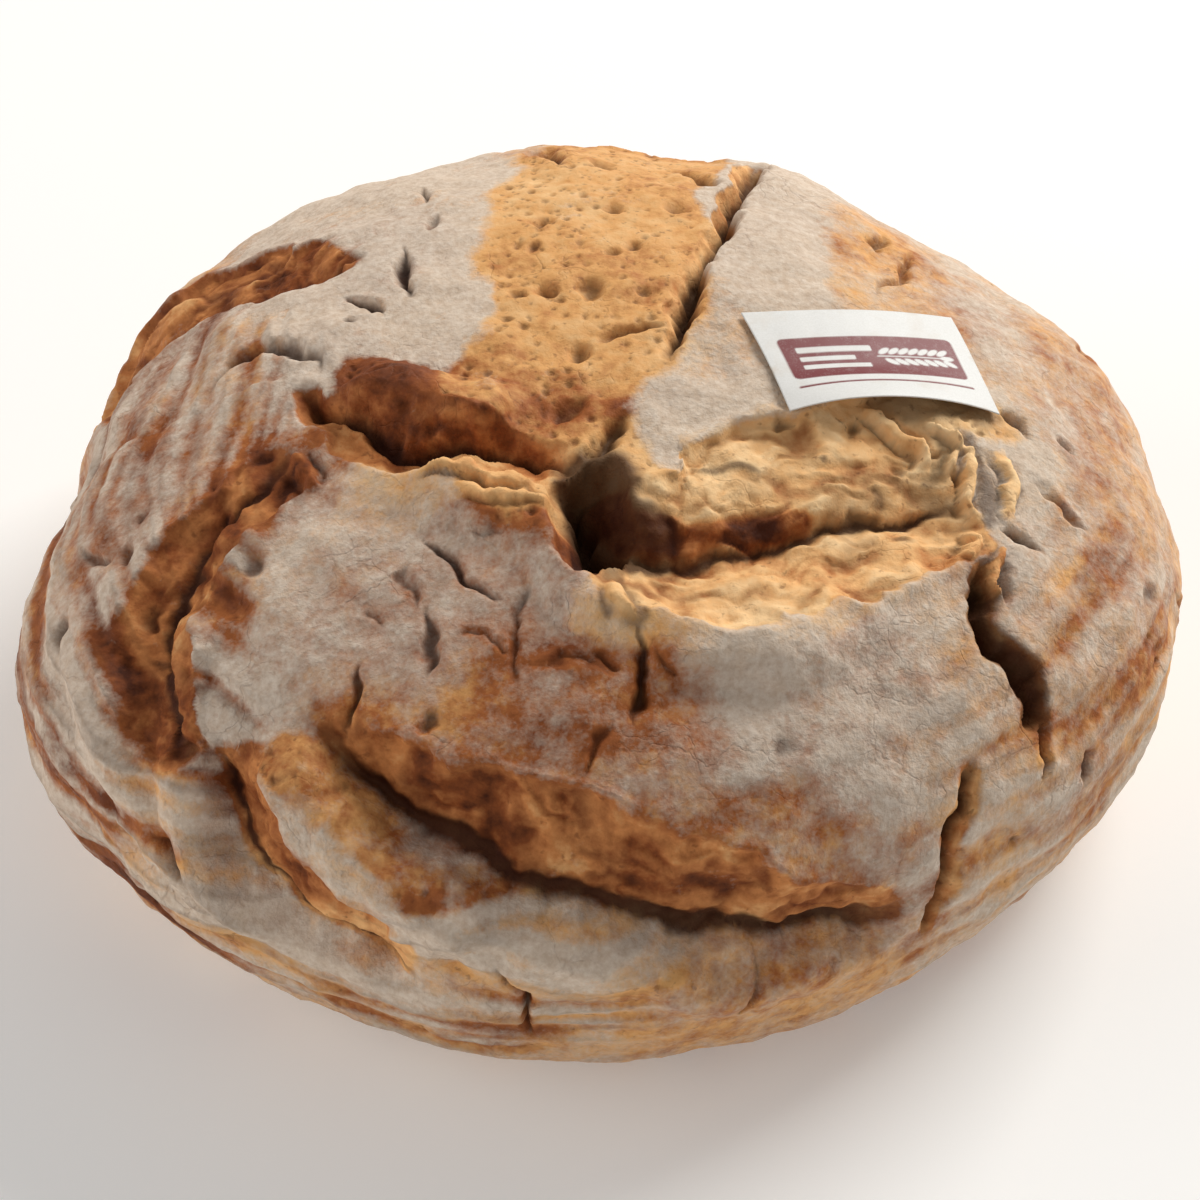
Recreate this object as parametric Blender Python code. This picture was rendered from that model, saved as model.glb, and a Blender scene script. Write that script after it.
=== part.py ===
"""A round rye loaf whose crust tore open as it baked, with a small paper label stuck on its right shoulder.

Lengths are millimetres until the meshes are made, which turns them into metres. The loaf stands on z = 0
with +X to its right and -Y to its front.

The whole crust is worked out on a crust map: the crust peeled off and laid flat, with the crown at (0, 0).
A place (u, v) on the map lies hypot(u, v) along the crust from the crown, towards the side that the same
(u, v) points to. So u runs to the right and v to the back, the belly is 136 mm out and the rim of the flat
base 189 mm out.
"""

import math
from collections import namedtuple

import bmesh
import bpy
import numpy as np
from mathutils import Matrix

MM = 0.001

# The loaf before it tore: a flattened dome over a belly that draws in to a flat base.
LOAF_HEIGHT = 98.0
BELLY_RADIUS = 116.0
BELLY_HEIGHT = 40.0
BASE_RADIUS = 88.0
DOME_ROUNDNESS = 2.25
DOME_FLATNESS = 2.1
UNDERSIDE_ROUNDNESS = 2.2
PROFILE_POINTS = 400
# Waves round the outline seen from above, by how many go round, as cosine and sine shares of the radius.
OUTLINE_WAVES = {1: (0.010, -0.008), 2: (0.0215, 0.002), 3: (0.0225, -0.013), 4: (0.0, 0.009),
                 5: (0.010, -0.009), 6: (-0.007, 0.002), 7: (0.003, -0.002)}
OUTLINE_FULL_AT = 90.0
RIM_CALM = 16.0

# A tear is a groove along a route, with a bank on its left and one on its right as the route runs. A bank
# is as wide as it says at the route's start, over its middle and at its end. It leaps a share of the depth at
# its foot, climbs evenly after that, and ends under the lip of the whole crust.
Bank = namedtuple("Bank", "start middle end leap")
Tear = namedtuple("Tear", "route depth left right")
MIDDLE_FROM_TO = (0.0, 0.38, 0.68, 1.0)
FOOT_WIDTH = 3.0
LIP_SHARE = 0.2
BANK_CURVE = 1.2
CRUST_EDGE = 2.2
TEAR_FADE = 0.15
SHEER = Bank(4, 4, 4, 0.0)
TEARS = {
    "front_crescent": Tear([(-57, -78), (-52, -84), (-45, -94), (-35, -102), (-24, -109), (-10, -117),
                            (0, -120), (17, -126), (40, -129), (60, -125), (70, -121), (78, -113)],
                           8.5, Bank(3, 18, 6, 0.15), SHEER),
    "roll_left": Tear([(-71, -78), (-74, -89), (-73, -99), (-71, -107), (-66, -117), (-60, -123), (-52, -129),
                       (-39, -136)], 5.5, Bank(8, 11, 7, 0.2), SHEER),
    "left_band": Tear([(-56, -18), (-63, -27), (-71, -36), (-78, -46), (-82, -58), (-81, -72), (-76, -84)],
                      6.0, Bank(7, 6, 3, 0.3), Bank(4, 8, 5, 0.2)),
    "fold_foot": Tear([(-1, -32), (-8, -26), (-20, -23), (-32, -21), (-40, -17), (-48, -12), (-55, -8),
                       (-58, 0)],
                      8.5, Bank(10, 7, 2, 0.5), Bank(3, 4, 2, 0.3)),
    "centre_hole": Tear([(-4, -31), (-1, -40), (1, -48), (7, -54)],
                        17.0, Bank(7, 9, 8, 0.35), Bank(4, 6, 6, 0.5)),
    "shoulder": Tear([(1, -46), (8, -48), (18, -50), (28, -48), (40, -41), (54, -35), (68, -29), (77, -26)],
                     7.0, Bank(8, 24, 26, 0.3), Bank(12, 18, 9, 0.1)),
    "top_crack": Tear([(14, -4), (17, 4), (19, 12), (21, 22), (24, 31), (27, 40), (33, 62), (38, 82),
                       (42, 100)],
                      6.5, Bank(3, 4, 4, 0.2), SHEER),
    "right_crack": Tear([(76, -40), (76, -48), (77, -53), (80, -58), (85, -62), (93, -74)],
                        7.5, Bank(2, 3, 2.5, 0.2), SHEER),
    "low_right_crack": Tear([(78, -83), (79, -92), (79, -98), (81, -105), (83, -113), (85, -124)],
                            5.5, Bank(2, 2.5, 2, 0.2), SHEER),
    "back_left": Tear([(-116, 20), (-103, 34), (-88, 38), (-72, 34), (-58, 34), (-46, 41)],
                      7.0, Bank(20, 22, 14, 0.2), SHEER),
    "back_seam": Tear([(72, 92), (56, 110), (30, 122), (2, 124), (-24, 114)], 9.0, Bank(3, 17, 3, 0.2), SHEER),
    "back_right": Tear([(129, 42), (122, 62), (108, 80), (88, 95)], 6.0, SHEER, Bank(1, 10, 1, 0.2)),
    "back_low_left": Tear([(-131, 34), (-124, 56), (-106, 80), (-80, 100)], 6.0, Bank(1, 10, 1, 0.2), SHEER),
}

# A ridge is a rounded roll along a route.
Ridge = namedtuple("Ridge", "route height half_width")
RIDGE_ROUNDNESS = 1.5
RIDGE_FADE = 0.25
RIDGES = {
    "front_roll": Ridge([(-66, -78), (-61, -90), (-54, -101), (-44, -111), (-32, -120), (-14, -130)],
                        6.0, 10.5),
    "left_roll": Ridge([(-70, -50), (-79, -64), (-80, -80), (-83, -96), (-80, -111), (-70, -126)], 4.5, 6.5),
    "outer_roll": Ridge([(-94, -34), (-97, -54), (-97, -76), (-92, -98), (-80, -120)], 3.5, 8.5),
    "far_roll": Ridge([(-112, -36), (-113, -60), (-108, -84), (-98, -108), (-84, -130)], 2.6, 8.0),
    "left_knuckle": Ridge([(-60, -20), (-65, -31), (-66, -44)], 3.0, 5.5),
    "fold": Ridge([(-50, -3), (-38, -10), (-25, -16), (-12, -21)], 6.5, 11.0),
    "front_lobe_rim": Ridge([(-54, -24), (-40, -30), (-24, -36), (-12, -42), (-2, -58), (14, -68), (30, -70),
                             (46, -66), (60, -52)], 4.0, 9.0),
    "crescent_lip": Ridge([(-38, -109), (-16, -123), (14, -134), (44, -138), (76, -128)], 2.4, 11.0),
    "shoulder_crumb": Ridge([(3, -31), (12, -37), (24, -39), (38, -32), (54, -24), (68, -19)], 1.6, 9.0),
    "back_lip": Ridge([(62, 120), (30, 134), (-4, 135)], 2.0, 9.0),
}

# A swelling is an oval rise, or a hollow where its height is negative.
Swelling = namedtuple("Swelling", "centre radii height")
SWELLINGS = {
    "front_lobe": Swelling((4, -88), (70, 36), 1.5),
    "right_lobe": Swelling((58, 10), (55, 60), 1.5),
    "back_left_lobe": Swelling((-58, 12), (42, 36), 2.0),
    "right_lobe_peak": Swelling((47, 88), (26, 34), 3.0),
    "back_plateau": Swelling((-8, 96), (26, 26), 1.0),
    "left_bulge": Swelling((-133, -42), (34, 26), 1.5),
    "left_hollow": Swelling((-126, 8), (30, 22), -3.0),
    "low_left_hollow": Swelling((-116, -92), (30, 24), -2.5),
    "back_left_hollow": Swelling((-72, 66), (26, 22), -2.5),
    "right_bulge": Swelling((112, 36), (34, 30), 2.5),
    "front_hollow": Swelling((26, -82), (26, 12), -2.0),
}

# The right lobe stands higher than the plateau along the crack between them.
LOBE_STEP = 3.0
LOBE_STEP_REACH = 45.0
LOBE_STEP_EDGE = 2.0
LOBE_STEP_FADE = 0.3

# The solid's mesh.
GRID = 220
LOAF_FACES = 9200

# The label: a paper rectangle, turned a little on the crust map, that bridges the torn crust below it.
LABEL_CENTRE = (55.0, 3.7)
LABEL_WIDTH = 43.0
LABEL_DEPTH = 27.0
LABEL_TURN = math.radians(14.5)
LABEL_THICKNESS = 0.4
LABEL_GAP = 0.5
LABEL_CELLS = (12, 8)


def smooth(x):
    """0 below 0, 1 above 1, with an easy turn between."""
    x = np.clip(x, 0.0, 1.0)
    return x * x * (3.0 - 2.0 * x)


def profile():
    """The loaf's half section from the crown to the middle of its base: length along it, radius and height."""
    dome = np.linspace(0.0, math.pi / 2, PROFILE_POINTS)
    under = np.linspace(0.0, math.pi / 2, PROFILE_POINTS)[1:]
    drawn_in = BELLY_RADIUS - BASE_RADIUS
    dome_height = LOAF_HEIGHT - BELLY_HEIGHT
    radius = np.concatenate([
        BELLY_RADIUS * np.sin(dome) ** (2 / DOME_ROUNDNESS),
        BASE_RADIUS + drawn_in * np.clip(np.cos(under), 0, 1) ** (2 / UNDERSIDE_ROUNDNESS),
        [0.0],
    ])
    height = np.concatenate([
        BELLY_HEIGHT + dome_height * np.clip(np.cos(dome), 0, 1) ** (2 / DOME_FLATNESS),
        BELLY_HEIGHT * (1.0 - np.sin(under) ** (2 / UNDERSIDE_ROUNDNESS)),
        [0.0],
    ])
    height[-2] = 0.0
    length = np.concatenate([[0.0], np.cumsum(np.hypot(np.diff(radius), np.diff(height)))])
    return length, radius, height


LENGTH, RADIUS, HEIGHT = profile()
TO_BELLY = LENGTH[PROFILE_POINTS - 1]
TO_BASE_RIM = LENGTH[-2]
TO_BASE_MIDDLE = LENGTH[-1]


def plain_crust(u, v):
    """Points of the loaf before it tore, for places on the crust map."""
    along = np.hypot(u, v)
    turn = np.arctan2(v, u)
    wave = np.zeros_like(turn)
    for count, (cosine, sine) in OUTLINE_WAVES.items():
        wave += cosine * np.cos(count * turn) + sine * np.sin(count * turn)
    radius = np.interp(along, LENGTH, RADIUS) * (1.0 + wave * np.clip(along / OUTLINE_FULL_AT, 0, 1))
    height = np.interp(along, LENGTH, HEIGHT)
    return np.stack([radius * np.cos(turn), radius * np.sin(turn), height], axis=-1)


def outward(u, v):
    """Unit normals of the plain crust."""
    step = 0.5
    across = plain_crust(u + step, v) - plain_crust(u - step, v)
    back = plain_crust(u, v + step) - plain_crust(u, v - step)
    normal = np.cross(across, back)
    return normal / np.linalg.norm(normal, axis=-1, keepdims=True)


def curve_through(points, steps=6):
    """A smooth curve through the points (Catmull-Rom), as a polyline."""
    knots = np.array(points, dtype=float)
    knots = np.vstack([2 * knots[0] - knots[1], knots, 2 * knots[-1] - knots[-2]])
    line = []
    for a, b, c, d in zip(knots, knots[1:], knots[2:], knots[3:]):
        for t in np.arange(steps) / steps:
            line.append(0.5 * (2 * b + (c - a) * t + (2 * a - 5 * b + 4 * c - d) * t ** 2
                               + (3 * b - a - 3 * c + d) * t ** 3))
    line.append(knots[-2])
    return np.array(line)


def locate(points, u, v, reach):
    """Which places lie within reach of a route's box, and for those the distance from the route (positive on
    its left), how far along it they are, and the route's length."""
    line = curve_through(points)
    low = line.min(axis=0) - reach
    high = line.max(axis=0) + reach
    here = np.flatnonzero((u > low[0]) & (u < high[0]) & (v > low[1]) & (v < high[1]))
    u = u[here]
    v = v[here]
    nearest = np.full(u.shape, np.inf)
    side = np.ones_like(u)
    along = np.zeros_like(u)
    passed = 0.0
    for start, end in zip(line, line[1:]):
        run = end - start
        size = math.hypot(run[0], run[1])
        t = np.clip(((u - start[0]) * run[0] + (v - start[1]) * run[1]) / size ** 2, 0, 1)
        off_u = u - start[0] - t * run[0]
        off_v = v - start[1] - t * run[1]
        distance = np.hypot(off_u, off_v)
        closer = distance < nearest
        nearest[closer] = distance[closer]
        side[closer] = np.where(run[0] * off_v - run[1] * off_u < 0, -1.0, 1.0)[closer]
        along[closer] = passed + (t * size)[closer]
        passed += size
    return here, nearest * side, along, passed


def fade_at_ends(share, part):
    """1 along a route and 0 at its two ends, with the change over a part of its length at each end."""
    return smooth(share / part) * smooth((1.0 - share) / part)


def bank_width(bank, share):
    """A bank's width at a share of the way along its tear."""
    return np.interp(share, MIDDLE_FROM_TO, (bank.start, bank.middle, bank.middle, bank.end))


def bank_cut(bank, away, width):
    """The share of a tear's depth that is cut at a distance from its foot."""
    leap = bank.leap * smooth(away / FOOT_WIDTH)
    climb = (1.0 - bank.leap - LIP_SHARE) * np.clip(away / width, 0, 1) ** BANK_CURVE
    return (1.0 - leap - climb) * (1.0 - smooth((away - width) / CRUST_EDGE))


def lobe_step(u, v):
    """The right lobe's stand above the plateau, dying away to its right."""
    here, distance, along, length = locate(TEARS["top_crack"].route, u, v, LOBE_STEP_REACH)
    right_of = -distance
    stand = smooth(right_of / LOBE_STEP_EDGE) * (1.0 - smooth(right_of / LOBE_STEP_REACH))
    rise = np.zeros_like(u)
    rise[here] = LOBE_STEP * stand * fade_at_ends(along / length, LOBE_STEP_FADE)
    return rise


def swelling_rise(swelling, u, v):
    """The height of an oval rise or hollow."""
    away = ((u - swelling.centre[0]) / swelling.radii[0]) ** 2
    away += ((v - swelling.centre[1]) / swelling.radii[1]) ** 2
    return swelling.height * np.clip(1.0 - away, 0, 1) ** 2


def ridge_rise(ridge, u, v):
    """The height of a roll that is round across its route."""
    here, distance, along, length = locate(ridge.route, u, v, ridge.half_width)
    across = np.clip(1.0 - (distance / ridge.half_width) ** 2, 0, 1)
    rise = np.zeros_like(u)
    rise[here] = ridge.height * fade_at_ends(along / length, RIDGE_FADE) * across ** RIDGE_ROUNDNESS
    return rise


def tear_cut(tear, u, v):
    """How deep a tear cuts. Its banks climb most of the way, then the crust's edge stands above them."""
    widest = max(max(bank[:3]) for bank in (tear.left, tear.right)) + CRUST_EDGE
    here, distance, along, length = locate(tear.route, u, v, widest)
    share = along / length
    away = np.abs(distance)
    left = bank_cut(tear.left, away, bank_width(tear.left, share))
    right = bank_cut(tear.right, away, bank_width(tear.right, share))
    cut = np.zeros_like(u)
    cut[here] = tear.depth * fade_at_ends(share, TEAR_FADE) * np.where(distance > 0, left, right)
    return cut


def rises(u, v):
    """All that stands above the plain crust."""
    rise = lobe_step(u, v)
    for swelling in SWELLINGS.values():
        rise += swelling_rise(swelling, u, v)
    rolls = [ridge_rise(ridge, u, v) for ridge in RIDGES.values()]
    return rise + np.max(rolls, axis=0)


def cuts(u, v):
    """The deepest of the tears at each place."""
    return np.max([tear_cut(tear, u, v) for tear in TEARS.values()], axis=0)


def torn_crust(u, v):
    """Points of the torn loaf. The relief dies away above the flat base."""
    calm = smooth((TO_BASE_RIM - np.hypot(u, v)) / RIM_CALM)
    relief = (rises(u, v) - cuts(u, v)) * calm
    points = plain_crust(u, v) + outward(u, v) * relief[:, None]
    points[:, 2] = np.maximum(points[:, 2], 0.0)
    return points


def disc_grid(count):
    """A square grid of count x count places spread evenly over a disc: share of the radius, and direction."""
    line = np.linspace(-1.0, 1.0, count)
    x, y = np.meshgrid(line, line)
    reach = np.maximum(np.abs(x), np.abs(y))
    safe = np.where(reach == 0, 1.0, reach)
    eighth = math.pi / 4
    sideways = np.where(x > 0, eighth * y / safe, math.pi - eighth * y / safe)
    upwards = np.where(y > 0, math.pi / 2 - eighth * x / safe, eighth * x / safe - math.pi / 2)
    turn = np.where(np.abs(x) >= np.abs(y), sideways, upwards)
    return reach.ravel(), turn.ravel()


def grid_faces(count):
    """The quads of a count x count grid, facing up."""
    faces = []
    for row in range(count - 1):
        for column in range(count - 1):
            corner = row * count + column
            faces.append((corner, corner + 1, corner + 1 + count, corner + count))
    return faces


def build_loaf():
    """One closed solid: a grid over the crown down to the belly, and one from the base's middle up to it."""
    reach, turn = disc_grid(GRID)
    faces = grid_faces(GRID)
    places = []
    for along in (reach * TO_BELLY, TO_BASE_MIDDLE - reach * (TO_BASE_MIDDLE - TO_BELLY)):
        places.append((along * np.cos(turn), along * np.sin(turn)))
    upper = torn_crust(*places[0])
    lower = torn_crust(*places[1])
    mesh = bpy.data.meshes.new("loaf")
    lower_faces = [tuple(len(upper) + corner for corner in reversed(face)) for face in faces]
    mesh.from_pydata((np.vstack([upper, lower]) * MM).tolist(), [], faces + lower_faces)
    work = bmesh.new()
    work.from_mesh(mesh)
    bmesh.ops.remove_doubles(work, verts=work.verts, dist=1e-6)
    bmesh.ops.triangulate(work, faces=work.faces)
    work.to_mesh(mesh)
    work.free()
    loaf = bpy.data.objects.new("loaf", mesh)
    bpy.context.collection.objects.link(loaf)
    thin = loaf.modifiers.new("fewer faces", "DECIMATE")
    thin.ratio = LOAF_FACES / len(mesh.polygons)
    mesh.shade_smooth()
    return loaf


def build_label():
    """A sheet of paper that lies on the crust where it is whole and bridges where it tore."""
    columns, rows = LABEL_CELLS
    across = np.linspace(-LABEL_WIDTH / 2, LABEL_WIDTH / 2, columns + 1)
    back = np.linspace(-LABEL_DEPTH / 2, LABEL_DEPTH / 2, rows + 1)
    a, b = np.meshgrid(across, back)
    u = LABEL_CENTRE[0] + a.ravel() * math.cos(LABEL_TURN) - b.ravel() * math.sin(LABEL_TURN)
    v = LABEL_CENTRE[1] + a.ravel() * math.sin(LABEL_TURN) + b.ravel() * math.cos(LABEL_TURN)
    lift = rises(u, v) + LABEL_GAP
    foot = plain_crust(u, v) + outward(u, v) * lift[:, None]
    mesh = bpy.data.meshes.new("label")
    width = columns + 1
    faces = [(r * width + c, r * width + c + 1, (r + 1) * width + c + 1, (r + 1) * width + c)
             for r in range(rows) for c in range(columns)]
    mesh.from_pydata((foot * MM).tolist(), [], faces)
    label = bpy.data.objects.new("label", mesh)
    bpy.context.collection.objects.link(label)
    paper = label.modifiers.new("paper", "SOLIDIFY")
    paper.thickness = LABEL_THICKNESS * MM
    paper.offset = 1.0
    paper.use_even_offset = True
    return label


def finish(name, colour, roughness):
    """A plain material."""
    material = bpy.data.materials.new(name)
    material.use_nodes = True
    shader = material.node_tree.nodes["Principled BSDF"]
    shader.inputs["Base Color"].default_value = (*colour, 1.0)
    shader.inputs["Roughness"].default_value = roughness
    return material


def centre_over_base(objects):
    """Moves the meshes so that the middle of the whole object's box is over the origin."""
    bpy.context.view_layer.update()
    shapes = bpy.context.evaluated_depsgraph_get()
    corners = np.array([corner[:] for thing in objects for corner in thing.evaluated_get(shapes).bound_box])
    middle = (corners.min(axis=0) + corners.max(axis=0)) / 2
    for thing in objects:
        thing.data.transform(Matrix.Translation((-middle[0], -middle[1], 0.0)))


def main():
    for old in list(bpy.data.objects):
        bpy.data.objects.remove(old)
    loaf = build_loaf()
    loaf.data.materials.append(finish("rye crust", (0.45, 0.27, 0.14), 0.85))
    label = build_label()
    label.data.materials.append(finish("label paper", (0.85, 0.84, 0.82), 0.6))
    centre_over_base([loaf, label])


main()
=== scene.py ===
"""The looks of a round rye loaf whose crust tore open as it baked, with a paper label on its right shoulder.

The crust is worked out on a crust map: the crust peeled off and laid flat, in millimetres, with the crown at
(0, 0). A place (u, v) lies hypot(u, v) along the crust from the crown, towards the side that the same (u, v)
points to, so u runs to the right and v to the back. The belly is about 136 mm out and the base's rim 189 mm.
"""

import math
from collections import namedtuple

import bmesh
import bpy
import numpy as np
from mathutils import Matrix, Vector, noise


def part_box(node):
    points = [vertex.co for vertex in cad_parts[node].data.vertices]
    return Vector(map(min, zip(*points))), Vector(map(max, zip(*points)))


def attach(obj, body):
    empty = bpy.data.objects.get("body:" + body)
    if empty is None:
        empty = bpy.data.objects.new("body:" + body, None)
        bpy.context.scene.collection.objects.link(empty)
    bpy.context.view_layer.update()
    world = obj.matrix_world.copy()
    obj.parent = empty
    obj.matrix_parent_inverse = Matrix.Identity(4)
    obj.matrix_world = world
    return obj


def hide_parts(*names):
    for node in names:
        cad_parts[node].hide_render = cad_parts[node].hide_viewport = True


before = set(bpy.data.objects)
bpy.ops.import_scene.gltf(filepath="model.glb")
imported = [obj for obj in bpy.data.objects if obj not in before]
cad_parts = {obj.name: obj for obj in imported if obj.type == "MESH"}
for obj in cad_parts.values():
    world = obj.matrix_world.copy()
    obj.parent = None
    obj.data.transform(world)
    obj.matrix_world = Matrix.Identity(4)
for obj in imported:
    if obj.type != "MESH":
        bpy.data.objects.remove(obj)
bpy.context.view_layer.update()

MM = 0.001

# ---------------------------------------------------------------------------------------------------------
# The loaf's main forms, as in the solid
# ---------------------------------------------------------------------------------------------------------
LOAF_HEIGHT = 98.0
BELLY_RADIUS = 116.0
BELLY_HEIGHT = 40.0
BASE_RADIUS = 88.0
DOME_ROUNDNESS = 2.25
DOME_FLATNESS = 2.1
UNDERSIDE_ROUNDNESS = 2.2
PROFILE_POINTS = 400
# Waves round the outline seen from above, by how many go round, as cosine and sine shares of the radius.
OUTLINE_WAVES = {1: (0.010, -0.008), 2: (0.0215, 0.002), 3: (0.0225, -0.013), 4: (0.0, 0.009), 5: (0.010, -0.009),
                 6: (-0.007, 0.002), 7: (0.003, -0.002)}
OUTLINE_FULL_AT = 90.0
RIM_CALM = 16.0

# A tear is a groove along a route, with a bank on its left and one on its right as the route runs. A bank is as
# wide as it says at the route's start, over its middle and at its end. It leaps a share of the depth at its foot,
# climbs evenly after that, and ends under the lip of the whole crust.
# It is painted dark for as many millimetres from its foot as it says: painted shade of the deep groove, with some
# real scorching. Where its skin is whole, the crust bends down to the foot instead of ending in a torn wall.
Bank = namedtuple("Bank", "start middle end leap dark whole", defaults=[1.8, False])
Tear = namedtuple("Tear", "route depth left right rough")
MIDDLE_FROM_TO = (0.0, 0.38, 0.68, 1.0)
FOOT_WIDTH = 2.5
LIP_SHARE = 0.2
CRUST_EDGE = 1.6
SHEER = Bank(1.5, 1.5, 1.5, 0.0, 1.1)
TEARS = {
    "front_crescent": Tear([(-57, -78), (-52, -84), (-45, -94), (-35, -102), (-24, -109), (-10, -117), (0, -120),
                            (17, -126), (40, -129), (60, -125), (70, -121), (78, -113)],
                           8.5, Bank(3, 18, 6, 0.15, 2.4), Bank(5, 14, 7, 0.0, 2.6, True), 0.35),
    "roll_left": Tear([(-71, -78), (-74, -89), (-73, -99), (-71, -107), (-66, -117), (-60, -123), (-52, -129),
                       (-39, -136)], 5.5, Bank(8, 11, 7, 0.2, 0.8), Bank(4, 8, 5, 0.0, 0.5, True), 0.2),
    "left_band": Tear([(-56, -18), (-63, -27), (-71, -36), (-78, -46), (-82, -58), (-81, -72), (-76, -84)],
                      6.0, Bank(7, 6, 3, 0.3, 1.2), Bank(4, 8, 5, 0.2, 1.2), 0.3),
    "fold_foot": Tear([(-1, -32), (-8, -26), (-20, -23), (-32, -21), (-40, -17), (-48, -12), (-55, -8), (-58, 0)],
                      8.5, Bank(10, 7, 2, 0.5, 1.4), Bank(3, 4, 2, 0.3, 1.0), 0.3),
    "centre_hole": Tear([(-4, -31), (-1, -40), (1, -48), (7, -54)],
                        17.0, Bank(7, 9, 8, 0.35, 9.0), Bank(4, 6, 6, 0.5, 5.0), 0.4),
    "shoulder": Tear([(1, -46), (8, -48), (18, -50), (28, -48), (40, -41), (54, -35), (68, -29), (77, -26)],
                     7.0, Bank(8, 24, 26, 0.3, 1.2), Bank(12, 18, 9, 0.1, 0.6), 0.5),
    "top_crack": Tear([(14, -4), (17, 4), (19, 12), (21, 22), (24, 31), (27, 40), (33, 62), (38, 82), (42, 100)],
                      6.5, Bank(2, 3, 3, 0.2, 1.6), Bank(2, 3, 3, 0.0, 1.6, True), 0.2),
    "right_crack": Tear([(76, -40), (76, -48), (77, -53), (80, -58), (85, -62), (93, -74)],
                        7.5, Bank(2, 3.5, 3, 0.2, 6.0), SHEER._replace(dark=3.0), 0.3),
    "low_right_crack": Tear([(78, -83), (79, -92), (79, -98), (81, -105), (83, -113), (85, -124)],
                            5.5, Bank(2, 2.5, 2, 0.2, 1.8), SHEER._replace(dark=1.6), 0.3),
    "back_left": Tear([(-116, 20), (-103, 34), (-88, 38), (-72, 34), (-58, 34), (-46, 41)],
                      7.0, Bank(20, 22, 14, 0.2), SHEER, 0.5),
    "back_seam": Tear([(72, 92), (56, 110), (30, 122), (2, 124), (-24, 114)], 9.0, Bank(3, 17, 3, 0.2), SHEER, 0.5),
    "back_right": Tear([(129, 42), (122, 62), (108, 80), (88, 95)], 6.0, SHEER, Bank(1, 10, 1, 0.2), 0.4),
    "back_low_left": Tear([(-131, 34), (-124, 56), (-106, 80), (-80, 100)], 6.0, Bank(1, 10, 1, 0.2), SHEER, 0.4),
}

# A ridge is a rounded roll along a route.
Ridge = namedtuple("Ridge", "route height half_width")
RIDGES = {
    "front_roll": Ridge([(-66, -78), (-61, -90), (-54, -101), (-44, -111), (-32, -120), (-14, -130)], 6.0, 10.5),
    "left_roll": Ridge([(-70, -50), (-79, -64), (-80, -80), (-83, -96), (-80, -111), (-70, -126)], 4.5, 6.5),
    "outer_roll": Ridge([(-94, -34), (-97, -54), (-97, -76), (-92, -98), (-80, -120)], 3.5, 8.5),
    "far_roll": Ridge([(-112, -36), (-113, -60), (-108, -84), (-98, -108), (-84, -130)], 2.6, 8.0),
    "left_knuckle": Ridge([(-60, -20), (-65, -31), (-66, -44)], 3.0, 5.5),
    "fold": Ridge([(-50, -3), (-38, -10), (-25, -16), (-12, -21)], 6.5, 11.0),
    "front_lobe_rim": Ridge([(-54, -24), (-40, -30), (-24, -36), (-12, -42), (-2, -58), (14, -68), (30, -70),
                             (46, -66), (60, -52)], 4.0, 9.0),
    "crescent_lip": Ridge([(-38, -109), (-16, -123), (14, -134), (44, -138), (76, -128)], 2.4, 11.0),
    "shoulder_crumb": Ridge([(3, -31), (12, -37), (24, -39), (38, -32), (54, -24), (68, -19)], 1.6, 9.0),
    "back_lip": Ridge([(62, 120), (30, 134), (-4, 135)], 2.0, 9.0),
}

# A swelling is an oval rise, or a hollow where its height is negative.
Swelling = namedtuple("Swelling", "centre radii height")
SWELLINGS = {
    "front_lobe": Swelling((4, -88), (70, 36), 1.5),
    "right_lobe": Swelling((58, 10), (55, 60), 1.5),
    "back_left_lobe": Swelling((-58, 12), (42, 36), 2.0),
    "right_lobe_peak": Swelling((47, 88), (26, 34), 3.0),
    "back_plateau": Swelling((-8, 96), (26, 26), 1.0),
    "left_bulge": Swelling((-133, -42), (34, 26), 1.5),
    "left_hollow": Swelling((-126, 8), (30, 22), -3.0),
    "low_left_hollow": Swelling((-116, -92), (30, 24), -2.5),
    "back_left_hollow": Swelling((-72, 66), (26, 22), -2.5),
    "right_bulge": Swelling((112, 36), (34, 30), 2.5),
    "front_hollow": Swelling((26, -82), (26, 12), -2.0),
}

# The right lobe stands higher than the plateau along the crack between them.
LOBE_STEP = 3.0
LOBE_STEP_REACH = 45.0
LOBE_STEP_EDGE = 2.0

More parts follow.
